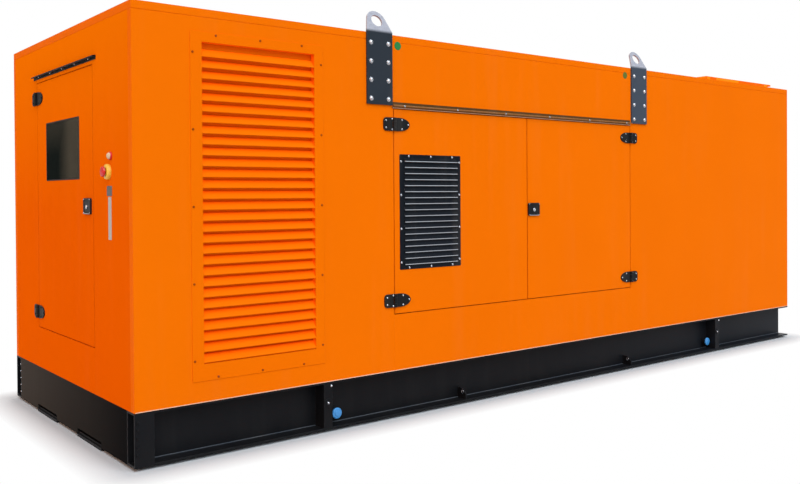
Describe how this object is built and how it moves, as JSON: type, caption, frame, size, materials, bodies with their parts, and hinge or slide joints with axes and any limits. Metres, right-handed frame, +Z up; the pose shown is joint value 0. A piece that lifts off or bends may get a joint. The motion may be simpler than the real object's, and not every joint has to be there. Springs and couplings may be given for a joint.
{
  "type": "diesel generating set",
  "caption": "Diesel engine and alternator in a sound-proof steel canopy on a channel base frame, with louvred intakes, hinged side and end doors, lifting eyes and a control window.",
  "frame": {"origin": "on the ground under the skid runners, at the middle of the footprint", "axes": "+X along the canopy from the control end to the radiator end, -Y out of the side with the opening doors, +Z up"},
  "size_m": [7.0045, 2.356, 2.7224],
  "materials": {
    "base_paint": "satin black paint on welded steel, slightly blue in the light",
    "cap_plastic": "bright blue moulded cap",
    "canopy_paint": "orange powder coat on sheet steel",
    "window_glass": "dark tinted glass",
    "seal_rubber": "black rubber window seal",
    "vent_black": "black coated pressed steel",
    "hinge_black": "black moulded hinge",
    "latch_black": "black latch pan and paddle",
    "rail_dark": "dark rain rail",
    "bracket_steel": "blue-grey painted plate with a bare galvanised eye",
    "stop_yellow": "yellow moulded collar",
    "stop_red": "red moulded mushroom button",
    "machine_grey": "dark grey machine enamel",
    "engine_paint": "light grey engine enamel",
    "radiator_black": "black paint",
    "cabinet_grey": "light grey textured powder coat"
  },
  "bodies": {
    "canopy": {"base_rail_front": "base_paint", "base_rail_back": "base_paint", "base_end_control": "base_paint", "base_end_radiator": "base_paint", "base_cross_members": "base_paint", "base_floor": "base_paint", "skid_runners": "base_paint", "base_caps": "cap_plastic", "front_wall_intake": "canopy_paint", "front_wall_header": "canopy_paint", "front_wall_sill": "canopy_paint", "front_wall_radiator": "canopy_paint", "back_wall": "canopy_paint", "control_wall_hinge_side": "canopy_paint", "control_wall_latch_side": "canopy_paint", "control_wall_header": "canopy_paint", "control_wall_sill": "canopy_paint", "radiator_end_wall": "canopy_paint", "roof": "canopy_paint", "discharge_cover": "canopy_paint", "louvre_panel_front": "canopy_paint", "louvre_panel_back": "canopy_paint", "back_left_door": "canopy_paint", "back_right_door": "canopy_paint", "vent_plate_back": "vent_black", "back_hinges": "hinge_black", "back_latch": "latch_black", "front_hinge_frames": "hinge_black", "control_hinge_frames": "hinge_black", "front_rain_rail": "rail_dark", "back_rain_rail": "rail_dark", "control_rain_rail": "rail_dark", "lifting_bracket_front_left": "bracket_steel", "lifting_bracket_front_right": "bracket_steel", "lifting_bracket_back_left": "bracket_steel", "lifting_bracket_back_right": "bracket_steel", "stop_collar": "stop_yellow", "engine_bed": "machine_grey", "alternator": "machine_grey", "engine": "engine_paint", "radiator": "radiator_black", "control_cabinet": "cabinet_grey"},
    "left_leaf": {"front_left_door": "canopy_paint", "vent_plate_front": "vent_black", "front_left_hinges": "hinge_black"},
    "right_leaf": {"front_right_door": "canopy_paint", "front_right_hinges": "hinge_black", "front_latch_housing": "latch_black"},
    "side_paddle": {"front_latch_paddle": "latch_black"},
    "end_leaf": {"control_door": "canopy_paint", "window_glass": "window_glass", "window_seal": "seal_rubber", "control_hinges": "hinge_black", "control_latch_housing": "latch_black"},
    "end_paddle": {"control_latch_paddle": "latch_black"},
    "emergency_button": {"stop_button": "stop_red"}
  },
  "joints": [
    {"name": "left_leaf_hinge", "type": "hinge", "parent": "canopy", "child": "left_leaf", "pos_m": [-1.69, -1.167, 1.3895], "axis": [0, 0, -1], "range_deg": [0, 110]},
    {"name": "right_leaf_hinge", "type": "hinge", "parent": "canopy", "child": "right_leaf", "pos_m": [0.853, -1.167, 1.3895], "axis": [0, 0, 1], "range_deg": [0, 110]},
    {"name": "end_leaf_hinge", "type": "hinge", "parent": "canopy", "child": "end_leaf", "pos_m": [-3.492, 0.575, 1.4435], "axis": [0, 0, -1], "range_deg": [0, 110]},
    {"name": "side_paddle_hinge", "type": "hinge", "parent": "right_leaf", "child": "side_paddle", "pos_m": [-0.342, -1.1625, 1.417], "axis": [-1, 0, 0], "range_deg": [0, 35], "stiffness_Nm_per_rad": 1.5},
    {"name": "end_paddle_hinge", "type": "hinge", "parent": "end_leaf", "child": "end_paddle", "pos_m": [-3.4875, -0.453, 1.476], "axis": [0, 1, 0], "range_deg": [0, 35], "stiffness_Nm_per_rad": 1.5},
    {"name": "emergency_button_push", "type": "slide", "parent": "canopy", "child": "emergency_button", "axis": [1, 0, 0], "range_m": [0, 0.006], "stiffness_N_per_m": 600}
  ]
}
